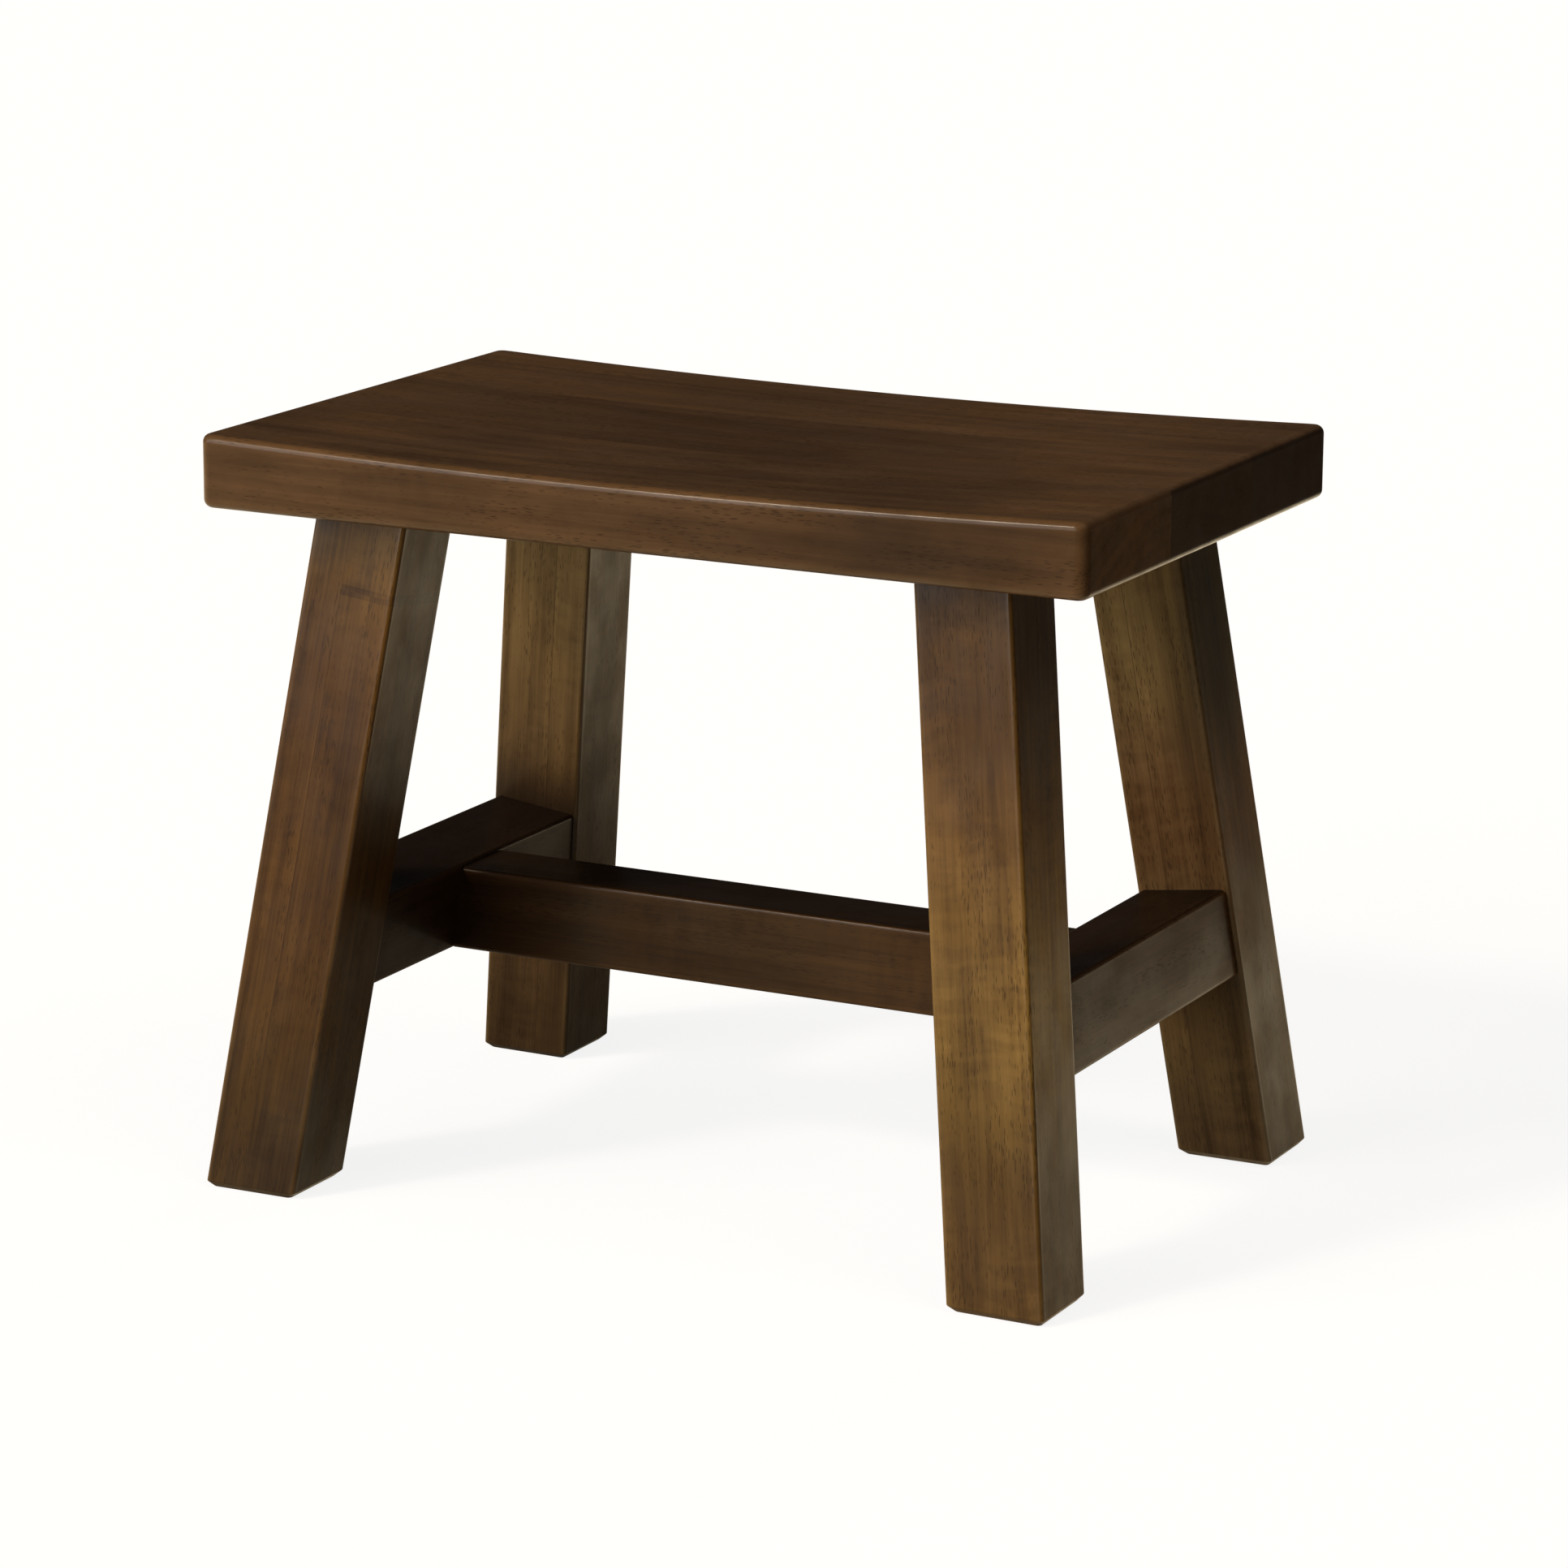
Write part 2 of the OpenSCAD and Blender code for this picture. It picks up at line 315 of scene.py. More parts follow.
def new_material(piece, name):
    """Gives a piece a material, with its tree on the bench. Hands back its shader's inputs."""
    material = bpy.data.materials.new(name)
    material.use_nodes = True
    piece.data.materials.clear()
    piece.data.materials.append(material)
    return open_tree(material.node_tree)["Principled BSDF"].inputs


print("helpers for node trees are ready")

# %% [markdown]
# The studio. The floor is pale and matt. It glows for camera rays alone, so the camera sees it almost
# white, as in the photograph, without strong lamps, and the stool's shadow stays on it. The lacquer
# mirrors the floor too. In the photograph it mirrors a warm white sweep that reaches further to the
# left than to the right, is brightest in a strip at the right, and is shaded under the stool. So the
# floor glows in reflections there, and is dark beyond. Past it lies the dark of the studio, which only
# the lacquer sees.

# %% Floor and surroundings
floor_colour = (0.25, 0.24, 0.215, 1)
floor_glow_to_camera = 0.86
floor_glow_in_lacquer = 1.45
warm_glow = (1.0, 0.83, 0.54, 1)
sweep_middle = (-0.95, 0.05, 0.0)
sweep_near = 1.55
sweep_far = 1.8
strip_x = 0.25
strip_near = 0.1
strip_far = 0.25
strip_front = 0.0
strip_full = 0.3
strip_glow = 0.9
shade_middle = (-0.12, 0.22, 0.0)
shade_near = 0.2
shade_far = 0.45
shade_depth = 0.2
studio_brightness = 0.04
floor_roughness = 0.9
floor_size = 80
floor_clearance = 0.05 * MM

bpy.ops.mesh.primitive_plane_add(size=floor_size, location=(0, 0, -floor_clearance))
floor = bpy.context.object
floor.name = "floor"
floor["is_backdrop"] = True

paint = new_material(floor, "pale floor")
rays = node("LightPath", {}).outputs
mirrored = maths("MAXIMUM", rays["Is Glossy Ray"], rays["Is Transmission Ray"])
spot = node("TexCoord", {}).outputs["Object"]
sweep = remap(vectors("DISTANCE", spot, sweep_middle), sweep_near, sweep_far, 1.0, 0.0)
shade = remap(vectors("DISTANCE", spot, shade_middle), shade_near, shade_far, shade_depth, 1.0)
across, backwards = split(spot)[:2]
strip = times(remap(maths("ABSOLUTE", minus(across, strip_x)), strip_near, strip_far, strip_glow, 0.0),
              remap(backwards, strip_front, strip_full))
lit = times(times(sweep, shade), plus(strip, 1.0))
glow_seen = times(rays["Is Camera Ray"], floor_glow_to_camera)
glow_mirrored = times(times(mirrored, lit), floor_glow_in_lacquer)
plug(floor_roughness, paint["Roughness"])
plug(0.0, paint["Specular IOR Level"])
plug(floor_colour, paint["Base Color"])
plug(mixed(rays["Is Camera Ray"], warm_glow, (1, 1, 1, 1)), paint["Emission Color"])
plug(plus(glow_seen, glow_mirrored), paint["Emission Strength"])

world = bpy.data.worlds.new("studio")
bpy.context.scene.world = world
world.use_nodes = True
background = open_tree(world.node_tree)["Background"].inputs
plug((1, 1, 1, 1), background["Color"])
seen = node("LightPath", {}).outputs["Is Camera Ray"]
plug(between(seen, studio_brightness, 1.0), background["Strength"])
print("floor of", floor_size, "m, surroundings at", studio_brightness)

# %% [markdown]
# The lamps. In the photograph the front faces are bright, the back legs are lit right up to the seat,
# the top is only half as bright as the front, and the tops of the stretchers lie in the seat's shade.
# So most of the light is low: a large window stands on the floor at the front left. A small warm key
# lamp above it draws the fine highlight along the seat's front edge. A weak lamp stands high at the
# right, where the seat's overhang shades the tops of the legs. Another stands low behind, so that the
# back isn't black. The lacquer doesn't mirror that one, or it would draw a cold line on the edges at
# the right. A sun lamp with a wide angle acts as a large softbox far away, so the floor is lit evenly.

# %% Lamps


def soft_lamp(name, azimuth, elevation, brightness, spread, colour=(1, 1, 1), mirrored=True):
    """Azimuth 0 is in front and 90 at the right. At brightness 1 a facing colour shows as written."""
    lamp_data = bpy.data.lights.new(name, "SUN")
    lamp_data.energy = brightness * math.pi
    lamp_data.angle = math.radians(spread)
    lamp_data.color = colour
    lamp = bpy.data.objects.new(name, lamp_data)
    bpy.context.scene.collection.objects.link(lamp)
    lamp.rotation_euler = (math.radians(90 - elevation), 0, math.radians(azimuth))
    lamp.visible_glossy = mirrored
    print(name, "at azimuth", azimuth, "and elevation", elevation, "with brightness", brightness)


soft_lamp("window", azimuth=-32, elevation=3, brightness=1.45, spread=62)
soft_lamp("key lamp", azimuth=-33, elevation=40, brightness=0.36, spread=9, colour=(1, 0.88, 0.72))
soft_lamp("right lamp", azimuth=80, elevation=60, brightness=0.15, spread=36, colour=(1, 0.90, 0.76))
soft_lamp("back lamp", azimuth=178, elevation=6, brightness=0.26, spread=16, mirrored=False)

# %% [markdown]
# Helpers for modelling. An operator acts on whatever is selected, so each step first says what that
# is: one object, or the vertices or edges that pass a test.

# %% Helpers for modelling
nearly_one = 0.999


def select_only(piece):
    """Leaves edit mode, and selects one object and nothing else."""
    if bpy.context.object and bpy.context.object.mode == "EDIT":
        bpy.ops.object.mode_set(mode="OBJECT")
    bpy.ops.object.select_all(action="DESELECT")
    piece.select_set(True)
    bpy.context.view_layer.objects.active = piece


def edit(piece):
    """Opens one object in edit mode."""
    select_only(piece)
    bpy.ops.object.mode_set(mode="EDIT")


def choose(piece, kind, test):
    """In edit mode, selects the vertices or edges that pass a test, and nothing else."""
    bpy.ops.mesh.select_mode(type=kind)
    bpy.ops.mesh.select_all(action="DESELECT")
    shell = bmesh.from_edit_mesh(piece.data)
    shell.normal_update()
    chosen = [part for part in (shell.verts if kind == "VERT" else shell.edges) if test(part)]
    for part in chosen:
        part.select_set(True)
    shell.select_flush_mode()
    bmesh.update_edit_mesh(piece.data)
    return len(chosen)


def span(edge):
    """The way an edge runs, from one end to the other."""
    return edge.verts[1].co - edge.verts[0].co


def runs_along(edge, direction):
    """Whether an edge runs along a direction, either way."""
    return abs(span(edge).normalized().dot(direction)) > nearly_one


def settle(piece):
    """Puts an object's place, turn and size into its mesh, so that it sits at the origin."""
    select_only(piece)
    bpy.ops.object.transform_apply()
    return piece


def block(place, size):
    """A rough block, centred on a place and turned with it."""
    bpy.ops.mesh.primitive_cube_add(size=1, location=place.to_translation(), rotation=place.to_euler())
    bpy.context.object.scale = size
    return settle(bpy.context.object)


def saw(piece, point, away):
    """Cuts a piece with a plane and closes the cut. What lies on the `away` side falls off."""
    edit(piece)
    bpy.ops.mesh.select_all(action="SELECT")
    bpy.ops.mesh.bisect(plane_co=point, plane_no=away, use_fill=True, clear_outer=True)
    select_only(piece)


def round_over(piece, test, radius, segments):
    """Rounds the edges that pass a test."""
    edit(piece)
    count = choose(piece, "EDGE", test)
    bpy.ops.mesh.bevel(offset=radius, segments=segments)
    select_only(piece)
    return count


print("helpers for modelling are ready")

# %% [markdown]
# Joinery. A mortise is cut, and a tenon is added, with a Boolean modifier and an oval bar: a cylinder
# whose two halves are moved apart, which is just how a slot mortiser cuts. A tenon is written as its
# thickness, height and length. Its mortise is a hair wider, for the glue. The dowel holes are drilled
# the same way, with plain cylinders.

# %% Joinery
glue_film = 0.1 * MM
glue_space = 1.5 * MM
end_tenon = (14 * MM, 30 * MM, 26 * MM)
centre_tenon = (14 * MM, 28 * MM, 24 * MM)
dowel_diameter = 10 * MM
dowel_length = 40 * MM
dowel_gap = 22 * MM
root_depth = 6 * MM
mortise_run_in = 1 * MM
round_steps = 64


def oval_bar(place, thickness, height, length, behind):
    """A bar of oval section along the z axis of a place, from `behind` it to `length` beyond it."""
    bpy.ops.mesh.primitive_cylinder_add(vertices=round_steps, radius=thickness / 2,
                                        depth=length + behind, location=(0, 0, (length - behind) / 2),
                                        rotation=(0, 0, math.pi / round_steps))
    bar = settle(bpy.context.object)
    edit(bar)
    for half in (-1, 1):
        choose(bar, "VERT", lambda vertex: vertex.co.y * half > 0)
        bpy.ops.transform.translate(value=(0, half * (height - thickness) / 2, 0))
    select_only(bar)
    bar.matrix_world = place
    return settle(bar)


def combine(piece, tool, operation):
    """Cuts a tool's shape out of a piece, or adds it, and throws the tool away."""
    modifier = piece.modifiers.new("joint", "BOOLEAN")
    modifier.operation = operation
    modifier.object = tool
    modifier.solver = "EXACT"
    select_only(piece)
    bpy.ops.object.modifier_apply(modifier="joint")
    bpy.data.objects.remove(tool)


def cut_mortise(piece, place, tenon):
    """Cuts the mortise that a tenon fits, with room for the glue round it and at its bottom."""
    thickness, height, length = tenon
    bar = oval_bar(place, thickness + 2 * glue_film, height + 2 * glue_film, length + glue_space,
                   mortise_run_in)
    combine(piece, bar, "DIFFERENCE")


def add_tenon(piece, place, tenon):
    """Leaves a tenon standing on the end of a stretcher."""
    combine(piece, oval_bar(place, *tenon, root_depth), "UNION")


def drill_dowel_holes(piece, side, face):
    """Drills the two holes between one leg and the seat, half in each."""
    for step in (-1, 1):
        point = (side * leg_top_x, face * leg_top_y + step * dowel_gap / 2, seat_underside)
        bpy.ops.mesh.primitive_cylinder_add(vertices=round_steps, radius=dowel_diameter / 2 + glue_film,
                                            depth=dowel_length + 2 * glue_space, location=point)
        combine(piece, settle(bpy.context.object), "DIFFERENCE")


print("tenons, mm:", [[round(size / MM, 1) for size in tenon] for tenon in (end_tenon, centre_tenon)])

# %% [markdown]
# Finishing a shape. A mirrored copy is inside out until its normals are recalculated. The piece is then
# shaded smooth where it turns by less than 30 degrees, and a Weighted Normal modifier lets its large
# faces set the shading, so that they look flat right up to the rounded edge, as planed wood does.

# %% Finishing a shape
smooth_up_to = math.radians(30)
merge_within = 0.001 * MM


def finish_shape(piece, node_name):
    """Cleans and shades a piece, and gives it its place in the part."""
    edit(piece)
    bpy.ops.mesh.select_all(action="SELECT")
    bpy.ops.mesh.remove_doubles(threshold=merge_within)
    bpy.ops.mesh.normals_make_consistent()
    select_only(piece)
    bpy.ops.object.shade_smooth_by_angle(angle=smooth_up_to)
    weighted = piece.modifiers.new("flat faces first", "WEIGHTED_NORMAL")
    weighted.keep_sharp = True
    bpy.ops.object.modifier_apply(modifier=weighted.name)
    piece.name = node_name + "_wood"
    piece.data.name = piece.name
    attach(piece, "root")
    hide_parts(node_name)
    print(piece.name, "has", len(piece.data.polygons), "faces")


def copy_of(piece, mirror=(1, 1, 1)):
    """A copy with its own mesh, mirrored about the stool's middle where a factor is -1."""
    select_only(piece)
    bpy.ops.object.duplicate()
    bpy.context.object.scale = mirror
    return settle(bpy.context.object)


print("shapes are smooth up to", round(math.degrees(smooth_up_to)), "degrees")

# %% [markdown]
# The seat panel. The real one is glued up flat, planed, and hollowed a little with a wide drum, so the
# top is an arc from end to end, 4 mm deep, and the long edges dip with it. Here a block is divided into
# strips across its length, and the top of each is lowered onto the arc. A Boolean with a huge cylinder
# would do it too, but the strips leave an even mesh that bevels cleanly: first the upright corners,
# then the edge all round the top and the bottom.

# %% Seat panel
dish_strips = 48
dish_half_length = seat_length / 2 - seat_edge_radius
dish_radius = (dish_half_length ** 2 + dish_depth ** 2) / (2 * dish_depth)


def dish_drop(x):
    """How far the arc of the dish lies below the seat's ends at a place along the seat."""
    rise = dish_radius - math.sqrt(dish_radius ** 2 - x ** 2)
    return max(dish_depth - rise, 0)


def is_upright_corner(edge):
    """An edge at one of the four corners."""
    at_end = abs(edge.verts[0].co.x) > seat_length / 2 - MM
    return runs_along(edge, Vector((0, 0, 1))) and at_end


def is_rim(edge):
    """An edge between the seat's side and its top or bottom."""
    flat = [abs(face.normal.z) > 0.9 for face in edge.link_faces]
    return any(flat) and not all(flat)


panel = block(Matrix.Translation(seat_middle), (seat_length, seat_depth, seat_thickness))
edit(panel)
choose(panel, "EDGE", lambda edge: runs_along(edge, Vector((1, 0, 0))))
bpy.ops.mesh.subdivide(number_cuts=dish_strips - 1)
for line in range(1, dish_strips):
    x = seat_length * (line / dish_strips - 0.5)
    choose(panel, "VERT", lambda vertex: abs(vertex.co.x - x) < MM and vertex.co.z > seat_top - MM)
    bpy.ops.transform.translate(value=(0, 0, -dish_drop(x)))
corners = round_over(panel, is_upright_corner, seat_corner_radius, segments=8)
rims = round_over(panel, is_rim, seat_edge_radius, segments=6)
print("seat panel: rounded", corners, "upright corners and", rims, "edges round the rims")

# %% [markdown]
# The three boards. A seat this deep is never one plank, and the photograph shows the tone of the top
# change in two steps. The panel is copied for each board and sawn at the seams, so the boards meet
# flush and the rounded edges run on. The holes for the dowels are drilled from below.

# %% Seat boards


def make_seat_board(front, back):
    """The part of the panel between two seams. None is the panel's own edge."""
    board = copy_of(panel)
    if front is not None:
        saw(board, (0, front, 0), (0, -1, 0))
    if back is not None:
        saw(board, (0, back, 0), (0, 1, 0))
    return board


front_board = make_seat_board(None, front_seam)
middle_board = make_seat_board(front_seam, back_seam)
back_board = make_seat_board(back_seam, None)
for side in (-1, 1):
    drill_dowel_holes(front_board, side, -1)
    drill_dowel_holes(back_board, side, 1)
bpy.data.objects.remove(panel)

finish_shape(front_board, "seat_front_board")
finish_shape(middle_board, "seat_middle_board")
finish_shape(back_board, "seat_back_board")

# %% [markdown]
# The legs. Each is a square bar that leans two ways, cut off level at the floor and at the underside
# of the seat. The foot is chamfered before the long edges are rounded, because the rounding then runs
# on down over the chamfer's corners, as sandpaper would take it. The leg at the back right is modelled
# once, with its mortise and its dowel holes, and the other three are mirrored copies.

# %% Legs
foot_softening = 0.4 * MM
crisp_from = math.radians(35)


def is_sole_edge(edge):
    """An edge round the sole, on the floor."""
    return max(vertex.co.z for vertex in edge.verts) < MM


def rises(edge):
    """Long edges and the corners of the foot's chamfer: all edges that aren't level."""
    return abs(span(edge).z) > MM


def is_foot_arris(edge):
    """A crisp edge of the foot's chamfer."""
    low = max(vertex.co.z for vertex in edge.verts) < 2 * foot_chamfer
    level = abs(span(edge).normalized().z) < 0.5
    return low and level and edge.calc_face_angle(0) > crisp_from


leg_middle = leg_place(1, 1) @ Matrix.Translation((0, 0, leg_reach / 2))
leg = block(leg_middle, (leg_width, leg_depth, leg_reach + 2 * leg_width))
saw(leg, (0, 0, 0), (0, 0, -1))
saw(leg, (0, 0, seat_underside), (0, 0, 1))
round_over(leg, is_sole_edge, foot_chamfer, segments=1)
edges = round_over(leg, rises, leg_edge_radius, segments=5)
arrises = round_over(leg, is_foot_arris, foot_softening, segments=2)
cut_mortise(leg, end_joint(1), end_tenon)
drill_dowel_holes(leg, 1, 1)
print("leg: rounded", edges, "rising edges, softened", arrises, "edges at the foot")

leg_back_right = leg
leg_back_left = copy_of(leg, mirror=(-1, 1, 1))
leg_front_right = copy_of(leg, mirror=(1, -1, 1))
leg_front_left = copy_of(leg, mirror=(-1, -1, 1))

finish_shape(leg_back_right, "leg_back_right")
finish_shape(leg_back_left, "leg_back_left")
finish_shape(leg_front_right, "leg_front_right")
finish_shape(leg_front_left, "leg_front_left")

# %% [markdown]
# The end stretchers. Each lies in its end frame, a little behind the outer faces of its legs, and its
# shoulders are sawn to the legs' lean. Its inner face has the mortise for the centre stretcher, which
# is made by the same function.

# %% End stretchers


def make_stretcher(place, size, along, joints, tenon):
    """A bar with its long edges rounded, sawn off at two joints, and with a tenon on each end."""
    bar = block(place, size)
    round_over(bar, lambda edge: runs_along(edge, Vector(along)), rail_edge_radius, segments=5)
    for joint in joints:
        saw(bar, joint.to_translation(), joint.to_3x3() @ Vector((0, 0, 1)))
    for joint in joints:
        add_tenon(bar, joint, tenon)
    return bar


end_rail_place = end_frame_place(1) @ Matrix.Translation((end_rail_x, 0, end_rail_z))
end_rail_size = (end_rail_thickness, 2 * foot_y, end_rail_height)
end_stretcher_right = make_stretcher(end_rail_place, end_rail_size, (0, 1, 0),
                                     (end_joint(-1), end_joint(1)), end_tenon)
cut_mortise(end_stretcher_right, centre_joint(1), centre_tenon)
end_stretcher_left = copy_of(end_stretcher_right, mirror=(-1, 1, 1))
finish_shape(end_stretcher_right, "end_stretcher_right")
finish_shape(end_stretcher_left, "end_stretcher_left")

# %% [markdown]
# The centre stretcher is level, so only its shoulders lean, to lie flat on the end stretchers' inner
# faces.

# %% Centre stretcher
centre_rail_place = Matrix.Translation((0, 0, centre_rail_z))
centre_rail_size = (2 * foot_x, centre_rail_thickness, centre_rail_height)
centre_stretcher = make_stretcher(centre_rail_place, centre_rail_size, (1, 0, 0),
                                  (centre_joint(-1), centre_joint(1)), centre_tenon)
finish_shape(centre_stretcher, "centre_stretcher")

# %% [markdown]
# Grain axes. The pattern of wood runs all through it, so it is worked out in three dimensions, and each
# face shows the cut through it. For that every piece gets axes of its own, with x along the grain. A
# Mapping node set to Texture turns its object coordinates into these, in metres from its middle.

# %% Grain axes


def grain_axes(middle_point, along, across):
    """Axes at a point, with x along the grain and y across it."""
    x = Vector(along).normalized()
    y = (Vector(across) - Vector(across).dot(x) * x).normalized()
    turn = Matrix((x, y, x.cross(y))).transposed().to_4x4()
    return Matrix.Translation(middle_point) @ turn


def leg_grain(side, face):
    """Axes of a leg: x up the leg, y across its front."""
    place = leg_place(side, face)
    return grain_axes(place @ Vector((0, 0, leg_reach / 2)), place.col[2].xyz, place.col[0].xyz)


def end_stretcher_grain(side):
    """Axes of an end stretcher: x from front to back, y up it."""
    place = end_frame_place(side)
    return grain_axes(place @ Vector((side * end_rail_x, 0, end_rail_z)), (0, 1, 0), place.col[2].xyz)


def seat_grain(front, back):
    """Axes of a seat board: x along the seat, y towards the back."""
    return grain_axes(seat_middle + Vector((0, (front + back) / 2, 0)), (1, 0, 0), (0, 1, 0))


def in_axes(place, axes):
    """A place, seen from a piece's own axes."""
    plugs = {"Vector": place, "Location": axes.to_translation(), "Rotation": axes.to_euler()}
    return node("Mapping", plugs, vector_type="TEXTURE").outputs["Vector"]


print("front left leg's grain:", [round(value, 3) for value in leg_grain(-1, -1).col[0].xyz])

# %% [markdown]
# Growth rings. A tree's rings are cylinders round its heart, wandering a little and narrowing as the
# tree rises. A board cut near the heart shows arches, and one cut far from it shows stripes. The group
# gives the soft bands of lighter and darker years, and the thin darker line of late wood that ends
# each year.

# %% Growth rings
band_pace = 0.42
seed_step = 17.3
late_wood_start = 0.35
late_wood_peak = 0.93

inputs = {"Heart": (0.0, 0.0, -0.1), "Ring width": 4 * MM, "Wander": 4 * MM, "Taper": 0.02, "Seed": 0.0}
given, result = new_group("growth rings", inputs, ["Band", "Late wood"])
slow = noise(seeded(given, (0.73, 1.37, 2.11)), (2.6, 11.0, 11.0), output="Color")
bend = scaled(vectors("SUBTRACT", slow, (0.5, 0.5, 0.5)), times(given["Wander"], 2.0))
bent = shifted(given["Vector"], bend)
from_heart = vectors("MULTIPLY", vectors("SUBTRACT", bent, given["Heart"]), (0, 1, 1))
radius = times_plus(split(bent)["X"], given["Taper"], vectors("LENGTH", from_heart))
years = maths("DIVIDE", radius, given["Ring width"])
place_in_bands = times_plus(given["Seed"], seed_step, times(years, band_pace))
band = node("TexNoise", {"W": place_in_bands, "Scale": 1.0}, noise_dimensions="1D").outputs["Fac"]
year = maths("FRACT", years)
fall = remap(year, late_wood_peak, 1.0, 1.0, 0.0)
plug(widened(band, 0.22), result["Band"])
plug(times(remap(year, late_wood_start, late_wood_peak), fall), result["Late wood"])

# %% [markdown]
# Fibres. Between the rings the wood is made of fibres, which take the stain a little unevenly: broad
# streaks some millimetres wide and as long as a hand, and fine ones no wider than a hair. Both are
# noise, drawn out far along the grain.

# %% Fibres
given, result = new_group("fibres", {"Seed": 0.0}, ["Broad", "Fine"])
place = swayed(seeded(given, (1.91, 0.57, 3.03)), (7, 20, 20), 3 * MM)
broad = noise(place, (4, 120, 120), detail=3, roughness=0.7)
fine = noise(place, (22, 900, 900), detail=3, roughness=0.6)
plug(widened(broad), result["Broad"])
plug(widened(fine), result["Fine"])

# %% [markdown]
# Pores. The wood is a hardwood with open pores: where a vessel is cut along its length it leaves a
# dark dash a few millimetres long, and on end grain a dot. Voronoi cells, drawn out along the grain,
# put one vessel in each cell, and a slow noise leaves some stretches with fewer.

# %% Pores
pore_narrow = 0.16
pore_wide = 0.34
pore_edge = -0.02
pore_full = 0.12

given, result = new_group("pores", {"Length": 7 * MM, "Spacing": 0.9 * MM, "Seed": 0.0}, ["Pore"])
place = seeded(given, (0.41, 2.17, 1.13))
cell = node("CombineXYZ", {0: given["Length"], 1: given["Spacing"], 2: given["Spacing"]}).outputs[0]
in_cells = vectors("DIVIDE", swayed(place, (9, 25, 25), 2 * MM), cell)
from_vessel = node("TexVoronoi", {"Vector": in_cells, "Scale": 1.0}).outputs["Distance"]
width = widened(noise(place, (14, 90, 90), detail=1), 0.15, pore_narrow, pore_wide)
plug(remap(minus(width, from_vessel), pore_edge, pore_full), result["Pore"])

# %% [markdown]
# Blotches and curl. Stain sinks deeper in some places than in others, which leaves soft patches from
# the size of a thumb down to that of a lentil. Where the fibres run in waves the wood shows curl:
# short bars across the grain that catch the light.

# %% Blotches and curl
given, result = new_group("blotches and curl", {"Seed": 0.0}, ["Blotch", "Curl"])
place = seeded(given, (2.71, 1.09, 0.83))
blotch = noise(place, (12, 30, 30), detail=4, roughness=0.66)
bars = noise(swayed(place, (20, 20, 20), 20 * MM), (150, 38, 38))
stretches = widened(noise(place, (12, 20, 20), detail=1), 0.12)
plug(widened(blotch), result["Blotch"])
plug(times(minus(widened(bars, 0.18), 0.5), stretches), result["Curl"])

# %% [markdown]
# Staves. A leg's blank is glued up from two staves, and on the front left leg the seam shows from top
# to bottom. High on the same leg one stave is itself joined end to end with fingers, and a finger's
# side shows as a short darker band. The group shifts the pattern past each glue line, so that rings and
# streaks break there, and gives masks for the second stave, its upper length, the fingers and the glue.

# %% Staves
seam_softness = 0.15 * MM
seam_line_width = 0.35 * MM
finger_half_length = 2.75 * MM
finger_softness = 0.4 * MM

outputs = ["Vector", "Side", "Line", "Fingers", "Upper"]
given, result = new_group("staves", {"Seam": 1.0, "Joint": 1.0}, outputs)
parts = split(given["Vector"])
past = minus(parts["Y"], given["Seam"])
side = remap(past, -seam_softness, seam_softness)
above = minus(parts["X"], given["Joint"])
upper = times(side, remap(above, -seam_softness, seam_softness))
from_joint = maths("ABSOLUTE", above)
fingers = remap(from_joint, finger_half_length - finger_softness, finger_half_length, 1.0, 0.0)
moved = shifted(given["Vector"], scaled((0.61, 0.043, 0.037), side))
plug(shifted(moved, scaled((0.37, 0.029, 0.051), upper)), result["Vector"])
plug(side, result["Side"])
plug(remap(maths("ABSOLUTE", past), 0.0, seam_line_width, 1.0, 0.0), result["Line"])
plug(times(side, fingers), result["Fingers"])
plug(upper, result["Upper"])

# %% [markdown]
# Rubbed edges. Hands, feet and a cloth wear a stained stool first where two faces meet, and polish it
# there. A piece's own axes tell how near each face is, so an edge is where two of them are near at
# once. A slow noise breaks the wear up. The seat's top is hollow, so a helper lifts it up to level
# before its edges are looked for.

# %% Rubbed edges
least_rubbed = 0.5


def level_dish(place):
    """Lifts the hollow of the seat's top up to level, so that its long edges are found."""
    parts = split(place)
    share = maths("DIVIDE", parts["X"], dish_half_length)
    depth = times_plus(times(share, share), -dish_depth, dish_depth)
    lift = times(maths("MAXIMUM", depth, 0.0), maths("GREATER_THAN", parts["Z"], 0.0))
    return shifted(place, node("CombineXYZ", {2: lift}).outputs[0])


inputs = {"Half size": (1, 1, 1), "Reach": 4 * MM, "Seed": 0.0}
given, result = new_group("rubbed edges", inputs, ["Edge"])
depth = vectors("SUBTRACT", given["Half size"], vectors("ABSOLUTE", given["Vector"]))
near = [remap(part, 0.0, given["Reach"], 1.0, 0.0) for part in split(depth)]
pairs = [times(near[a], near[b]) for a, b in ((0, 1), (1, 2), (0, 2))]
edge = maths("MAXIMUM", pairs[0], maths("MAXIMUM", pairs[1], pairs[2]))
patches = noise(seeded(given, (1.31, 0.77, 1.87)), (35, 60, 60), detail=3)
plug(times(edge, remap(patches, 0.3, 0.65, least_rubbed, 1.0)), result["Edge"])

# %% [markdown]
# Satin lacquer. A thin coat is sprayed on: it is a little rougher where it has been handled, and it
# has a faint orange peel. It also follows slow waves that sanding leaves in the wood, which is what
# makes a long highlight look real. Heights are in millimetres.

# %% Satin lacquer
peel_height = 0.004
wave_height = 0.10

